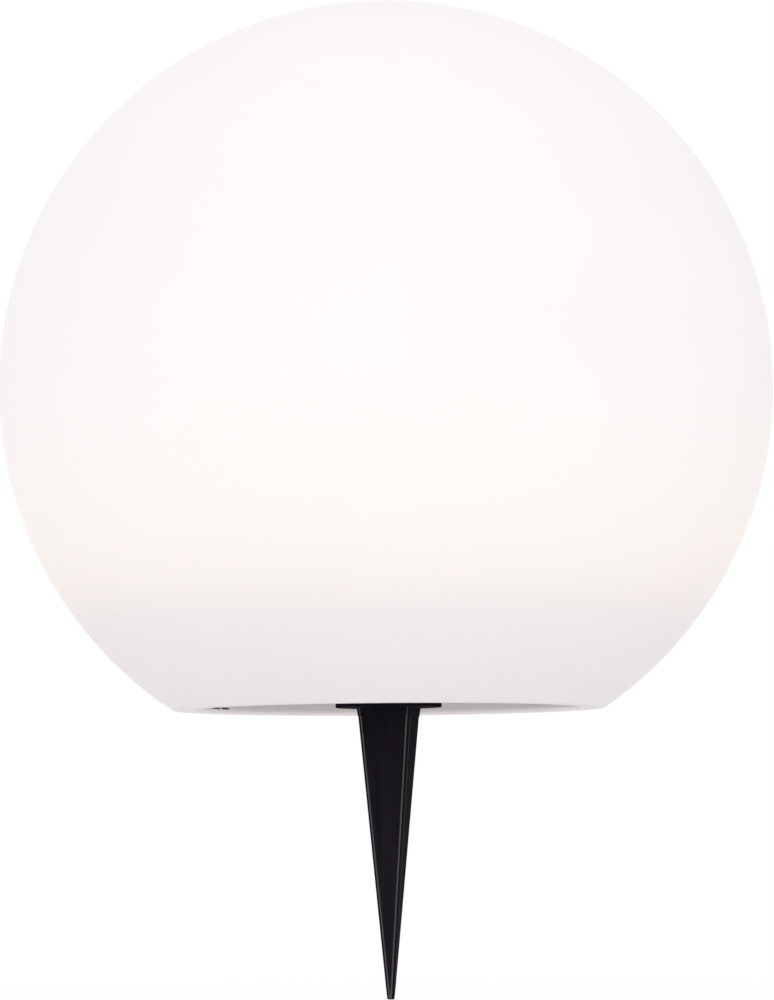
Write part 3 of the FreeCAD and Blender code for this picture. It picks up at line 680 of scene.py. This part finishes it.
def chamfered_square(side, chamfer=STAKE_CHAMFER, arris=STAKE_ARRIS_R):
    """A square whose corners are cut off at 45 degrees, with both arrises of each cut eased."""
    half = side / 2
    chamfer = min(chamfer, half * 0.55)
    arris = min(arris, chamfer * 0.4)
    flat = half - chamfer - arris * math.tan(math.radians(22.5))
    first = []
    for i in range(4):
        a = math.pi / 4 * i / 3
        first.append(Vector((half - arris + arris * math.cos(a), flat + arris * math.sin(a))))
    second = [Vector((p.y, p.x)) for p in reversed(first)]
    return square_ring(half, flat, first + [(first[-1] + second[0]) / 2] + second)


def round_like(radius, pattern):
    """A circle whose points lie at the same angles as the pattern's."""
    return [p.normalized() * radius for p in pattern]


def stake_side(z):
    """The taper's width across its faces at that height."""
    share = (z - TIP_Z) / (STAKE_TOP_Z - TIP_Z)
    return STAKE_TIP_SIDE + (STAKE_TOP_SIDE - STAKE_TIP_SIDE) * share


def make_stake():
    """One skin: tip, taper, collar, flange, and down again inside the socket."""
    tip_round, collar_round, fillet, flange_round = 0.8 * MM, 0.25 * MM, 0.7 * MM, 0.4 * MM
    pattern = chamfered_square(COLLAR_SIDE)
    levels = []
    for sine, cosine in quarter():  # the tip's rounded end
        side = stake_side(TIP_Z) - 2 * tip_round * (1 - sine)
        levels.append((rounded_square(side, side / 2 * 0.95), TIP_Z + tip_round * (1 - cosine)))
    low, high, steps = TIP_Z + 1.2 * MM, COLLAR_BOTTOM_Z - 0.2 * MM, 28
    for i in range(1, steps + 1):
        z = low + (high - low) * i / steps
        levels.append((chamfered_square(stake_side(z)), z))
    for sine, cosine in quarter():  # the collar's lower edge
        side = COLLAR_LOW_SIDE - 2 * collar_round * (1 - sine)
        levels.append((chamfered_square(side), COLLAR_BOTTOM_Z + collar_round * (1 - cosine)))
    for sine, cosine in quarter():  # the hollow where collar and flange meet
        side = COLLAR_SIDE + 2 * fillet * (1 - cosine)
        levels.append((chamfered_square(side), FLANGE_Z - fillet * (1 - sine)))
    edge_ring = round_like(FLANGE_R - 0.5 * MM, pattern)
    for share in (0.25, 0.5, 0.75):  # each ring lies between the last one and the flange's edge
        between = [p.lerp(q, share) for p, q in zip(levels[-1][0], edge_ring)]
        levels.append((between, FLANGE_Z))
    lower_edge = arc(FLANGE_R - flange_round, FLANGE_Z + flange_round, flange_round, -90, 0, 5)
    upper_edge = arc(FLANGE_R - flange_round, FLANGE_TOP_Z - flange_round, flange_round, 0, 90, 5)
    for r, z in lower_edge + upper_edge:
        levels.append((round_like(r, pattern), z))
    inner = stake_side(FLANGE_TOP_Z) - 2 * STAKE_WALL
    for side, z in ((inner + 1.0 * MM, FLANGE_TOP_Z), (inner, FLANGE_TOP_Z - 0.5 * MM)):
        levels.append((rounded_square(side, 1.0 * MM), z))
    mouth_z = FLANGE_TOP_Z - 0.5 * MM
    for i in range(1, 13):
        z = mouth_z + (STAKE_FLOOR_Z - mouth_z) * i / 12
        levels.append((rounded_square(stake_side(z) - 2 * STAKE_WALL, 0.8 * MM), z))
    bm = bmesh.new()
    rings = [[bm.verts.new((p.x, p.y, z)) for p in points] for points, z in levels]
    skin(bm, rings)
    bm.faces.new(rings[0])
    bm.faces.new(rings[-1])
    stake = finish_mesh("stake_moulding", bm, 38.0)
    paint(stake, BLACK)
    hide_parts("ground_stake")
    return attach(stake, "stake")


# ---------------------------------------------------------------- bulb and lampholder
def span(node):
    """A node's largest radius, its lowest height and its highest."""
    low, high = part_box(node)
    return (high.x - low.x) / 2, low.z, high.z


def make_bulb_dome():
    """The bulb's frosted dome, as a shell that narrows to its foot."""
    radius, low, top = span("bulb_dome")
    centre_z = top - radius
    foot_r = 27.5 * MM
    wall = 1.2 * MM
    outside = arc(0, centre_z, radius, 90, -8, 60)[1:]
    neck = line(outside[-1], (foot_r, low + 0.6 * MM), 14)
    rim = [(foot_r - 0.5 * MM, low), (foot_r - wall, low)]
    inside = line(rim[-1], (radius - wall, centre_z), 10)
    inside += arc(0, centre_z, radius - wall, 0, 90, 36)[1:-1]
    bm = bmesh.new()
    lathe(bm, [(0, top)] + outside + neck + rim + inside + [(0, top - wall)], even_angles(128))
    dome = finish_mesh("bulb_diffuser", bm)
    paint(dome, FROSTED)
    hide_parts("bulb_dome")
    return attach(dome, "bulb")


def make_bulb_housing():
    """White tapering body with a rolled rim and fine cooling flutes."""
    top_r, low, top = span("bulb_housing")
    neck_z = 68.6 * MM
    wall = 1.6 * MM
    cap_inside_r = 11.35 * MM
    outside = [
        (cap_inside_r, low),
        (cap_inside_r, neck_z),
        (13.4 * MM, neck_z),
        (13.9 * MM, neck_z + 0.5 * MM),
        (14.4 * MM, neck_z + 2.6 * MM),
    ]
    waist, shoulder = outside[-1], (top_r - 1.4 * MM, top - 4.0 * MM)
    for i in range(1, 17):
        t = i / 16
        hollow = math.sin(math.pi * t) * 0.7 * MM
        r = waist[0] + (shoulder[0] - waist[0]) * t - hollow
        outside.append((r, waist[1] + (shoulder[1] - waist[1]) * t))
    outside += [
        (top_r - 0.5 * MM, top - 3.0 * MM),
        (top_r, top - 2.2 * MM),
        (top_r, top - 0.4 * MM),
        (top_r - 0.4 * MM, top),
    ]
    inside = [
        (top_r - wall, top),
        (top_r - wall - 3.0 * MM, top - 8.0 * MM),
        (cap_inside_r - wall, neck_z + 4.0 * MM),
        (cap_inside_r - wall, low),
    ]
    flute_count, flute_depth = 36, 0.35 * MM
    flute_low, flute_high = neck_z + 5.0 * MM, top - 5.0 * MM

    def flutes(angle, r, z):
        if r < cap_inside_r + 1.0 * MM or not flute_low < z < flute_high or (r, z) in inside:
            return r
        fade = math.sin(math.pi * (z - flute_low) / (flute_high - flute_low))
        return r - flute_depth * fade * (0.5 + 0.5 * math.cos(flute_count * angle)) ** 3

    bm = bmesh.new()
    lathe(bm, outside + inside, even_angles(288), closed=True, reach=flutes)
    housing = finish_mesh("bulb_body", bm)
    paint(housing, BULB_WHITE)
    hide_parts("bulb_housing")
    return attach(housing, "bulb")


def make_bulb_cap():
    """The screw cap, with a true helical thread that fades out at both ends."""
    crest, low, top = span("bulb_cap")
    root, inner, pitch = crest - 1.0 * MM, crest - 1.6 * MM, 3.629 * MM
    rows = 76
    thread_low, thread_high = low + 0.8 * MM, top - 4.2 * MM

    def thread(angle, r, z):
        if r < root - 1e-6:
            return r
        phase = ((z - low) / pitch - angle / (2 * math.pi)) % 1.0
        rise = min(1.0, max(0.0, (z - thread_low) / pitch))
        fall = min(1.0, max(0.0, (thread_high - z) / pitch))
        return root + (crest - root) * rise * fall * (0.5 - 0.5 * math.cos(2 * math.pi * phase)) ** 0.9

    outside = [(root, low + (top - low) * i / rows) for i in range(rows + 1)]
    inside = [(inner, top), (inner, low)]
    bm = bmesh.new()
    lathe(bm, outside + inside, even_angles(96), closed=True, reach=thread)
    cap = finish_mesh("bulb_screw_cap", bm, 60.0)
    paint(cap, NICKEL)
    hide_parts("bulb_cap")
    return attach(cap, "bulb")


def drill_holder(casing, low, flange_top):
    """Cuts the flange's two screw holes, and for each terminal a pocket and the way of its wire."""
    screw_r, screw_y, wire_r = 1.9 * MM, 25.4 * MM, 1.4 * MM
    terminal_y, wire_start_x, wire_end_x, wire_z = 5.0 * MM, 12.5 * MM, 23.0 * MM, 32.6 * MM
    pocket_x, pocket_z, pocket_size = 10.75 * MM, 31.05 * MM, (5.7 * MM, 4.8 * MM, 8.1 * MM)
    under, over = low - 1.0 * MM, flange_top + 1.0 * MM
    hole = [(0, under), (screw_r, under), (screw_r, over), (0, over)]
    holes, pockets = bmesh.new(), bmesh.new()
    for side in (-1, 1):
        lathe(holes, hole, even_angles(32), centre=(0.0, side * screw_y))
        middle = ((wire_start_x + wire_end_x) / 2, side * terminal_y, wire_z)
        bmesh.ops.create_cone(
            holes,
            cap_ends=True,
            segments=32,
            radius1=wire_r,
            radius2=wire_r,
            depth=wire_end_x - wire_start_x,
            matrix=Matrix.Translation(middle) @ Matrix.Rotation(math.pi / 2, 4, "Y"),
        )
        pocket = Matrix.Translation((pocket_x, side * terminal_y, pocket_z))
        bmesh.ops.create_cube(pockets, size=1.0, matrix=pocket @ Matrix.Diagonal((*pocket_size, 1.0)))
    cut_away(casing, holes)
    cut_away(casing, pockets)


def make_holder():
    """The lampholder's casing: a flanged foot, a gripping band of fine ribs, and a rounded mouth."""
    foot_r, low, top = span("lampholder_body")
    body_r, bore_r, room_r = 22.0 * MM, 13.35 * MM, 15.0 * MM
    floor_z, lip_z, flange_top = low + 8.0 * MM, top - 4.0 * MM, low + 3.0 * MM
    foot_edge, edge, mouth_edge = 0.5 * MM, 0.8 * MM, 2.0 * MM
    profile = [(0, low), (foot_r - foot_edge, low)]
    profile += arc(foot_r - foot_edge, low + foot_edge, foot_edge, -90, 0, 3)[1:]
    profile += arc(foot_r - edge, flange_top - edge, edge, 0, 90, 4)
    profile += arc(body_r + edge, flange_top + edge, edge, -90, -180, 4)
    # a band of ribs between two grooves
    band_low, band_high = low + 15.0 * MM, top - 6.0 * MM
    groove, ease = 0.8 * MM, 0.6 * MM
    profile += [(body_r, band_low - groove - ease), (body_r - ease, band_low - groove)]
    profile += [(body_r - ease, band_low), (body_r, band_low + ease)]
    profile += line((body_r, band_low + ease), (body_r, band_high - ease), 8)
    profile += [(body_r - ease, band_high), (body_r - ease, band_high + groove)]
    profile += [(body_r, band_high + groove + ease)]
    profile += arc(body_r - mouth_edge, top - mouth_edge, mouth_edge, 0, 90, 6)
    profile += [(bore_r + ease, top), (bore_r, top - ease), (bore_r, lip_z), (room_r, lip_z)]
    profile += [(room_r, floor_z), (0, floor_z)]
    rib_count, rib_depth = 60, 0.45 * MM

    def ribs(angle, r, z):
        if not band_low + ease < z < band_high - ease or r < body_r - 0.1 * MM:
            return r
        return r - rib_depth * (0.5 - 0.5 * math.cos(rib_count * angle)) ** 2

    bm = bmesh.new()
    lathe(bm, profile, even_angles(480), reach=ribs)
    casing = finish_mesh("holder_casing", bm)
    drill_holder(casing, low, flange_top)
    paint(casing, HOLDER_BLACK)
    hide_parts("lampholder_body")
    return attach(casing, "base")


# ---------------------------------------------------------------- stage, light and camera
def background_share(tree):
    """1 for rays that show the background itself: from the camera, and through gloss or glass."""
    path = tree.nodes.new("ShaderNodeLightPath")
    seen = math_node(tree, "MAXIMUM", path.outputs["Is Camera Ray"], path.outputs["Is Glossy Ray"])
    return math_node(tree, "MAXIMUM", seen, path.outputs["Is Transmission Ray"])


def blend(tree, share, first, second, output):
    """Sends the second shader by that share, and the first for the rest, to the output's surface."""
    mix = tree.nodes.new("ShaderNodeMixShader")
    tree.links.new(share, mix.inputs["Fac"])
    tree.links.new(first.outputs[0], mix.inputs[1])
    tree.links.new(second.outputs[0], mix.inputs[2])
    tree.links.new(mix.outputs[0], output.inputs["Surface"])


def make_world():
    """An even white light, and plain white where the background itself shows."""
    world = bpy.data.worlds.new("studio")
    bpy.context.scene.world = world
    world.use_nodes = True
    tree = world.node_tree
    tree.nodes.clear()
    light = tree.nodes.new("ShaderNodeBackground")
    light.inputs["Color"].default_value = (1, 1, 1, 1)
    light.inputs["Strength"].default_value = WORLD_LIGHT
    white = tree.nodes.new("ShaderNodeBackground")
    white.inputs["Color"].default_value = (1, 1, 1, 1)
    white.inputs["Strength"].default_value = 1.0
    blend(tree, background_share(tree), light, white, tree.nodes.new("ShaderNodeOutputWorld"))


def make_floor():
    """A plain pale floor at the stake's tip, which fades into the white background away from the object."""
    bm = bmesh.new()
    sides = ((-1, -1), (1, -1), (1, 1), (-1, 1))
    bm.faces.new([bm.verts.new((x * FLOOR_HALF, y * FLOOR_HALF, GROUND_Z)) for x, y in sides])
    floor = finish_mesh("floor", bm)
    material = bpy.data.materials.new("pale_floor")
    material.use_nodes = True
    tree = material.node_tree
    tree.nodes.clear()
    matte = tree.nodes.new("ShaderNodeBsdfDiffuse")
    matte.inputs["Color"].default_value = (FLOOR_GREY, FLOOR_GREY, FLOOR_GREY, 1.0)
    white = tree.nodes.new("ShaderNodeEmission")
    white.inputs["Strength"].default_value = 1.0
    coords = tree.nodes.new("ShaderNodeTexCoord")
    distance = tree.nodes.new("ShaderNodeVectorMath")
    distance.operation = "LENGTH"
    tree.links.new(coords.outputs["Object"], distance.inputs[0])
    fade = smooth_step(tree, distance.outputs["Value"], *FLOOR_FADE, low=FLOOR_WHITE)
    share = math_node(tree, "MULTIPLY", fade, background_share(tree))
    blend(tree, share, matte, white, tree.nodes.new("ShaderNodeOutputMaterial"))
    floor.data.materials.append(material)


def aim(thing, target):
    """Turns a lamp or camera toward a point."""
    direction = Vector(target) - thing.location
    thing.rotation_euler = direction.to_track_quat("-Z", "Y").to_euler()


def make_lamp(name, azimuth, elevation, distance, size, power):
    """A soft area lamp round the object. Azimuth 0 is in front of it, and positive is to its right."""
    lamp = bpy.data.lights.new(name, "AREA")
    lamp.shape = "RECTANGLE"
    lamp.size, lamp.size_y = size
    lamp.energy = power
    holder = bpy.data.objects.new(name, lamp)
    bpy.context.scene.collection.objects.link(holder)
    a, e = math.radians(azimuth), math.radians(elevation)
    place = Vector((math.sin(a) * math.cos(e), -math.cos(a) * math.cos(e), math.sin(e))) * distance
    holder.location = place + Vector((0, 0, GLOBE_CENTRE_Z))
    aim(holder, (0, 0, GLOBE_CENTRE_Z))


def make_camera():
    data = bpy.data.cameras.new("camera")
    data.lens = LENS
    data.sensor_width = SENSOR_WIDTH
    data.clip_start, data.clip_end = 0.05, 50.0
    camera = bpy.data.objects.new("camera", data)
    bpy.context.scene.collection.objects.link(camera)
    a = CAMERA_AZIMUTH
    camera.location = (CAMERA_DISTANCE * math.sin(a), -CAMERA_DISTANCE * math.cos(a), CAMERA_Z)
    aim(camera, (0, 0, AIM_Z))
    level = camera.rotation_euler.to_matrix()
    camera.rotation_euler = (level @ Matrix.Rotation(-ROLL, 3, "Z")).to_euler()
    bpy.context.scene.camera = camera


make_camera()
make_world()
make_floor()
for lamp_values in LAMPS:
    make_lamp(*lamp_values)

finish_cad_nodes()
make_globe()
make_bosses()
make_screw_threads()
make_stake()
make_bulb_dome()
make_bulb_housing()
make_bulb_cap()
make_holder()

bpy.context.scene.view_settings.view_transform = "Standard"
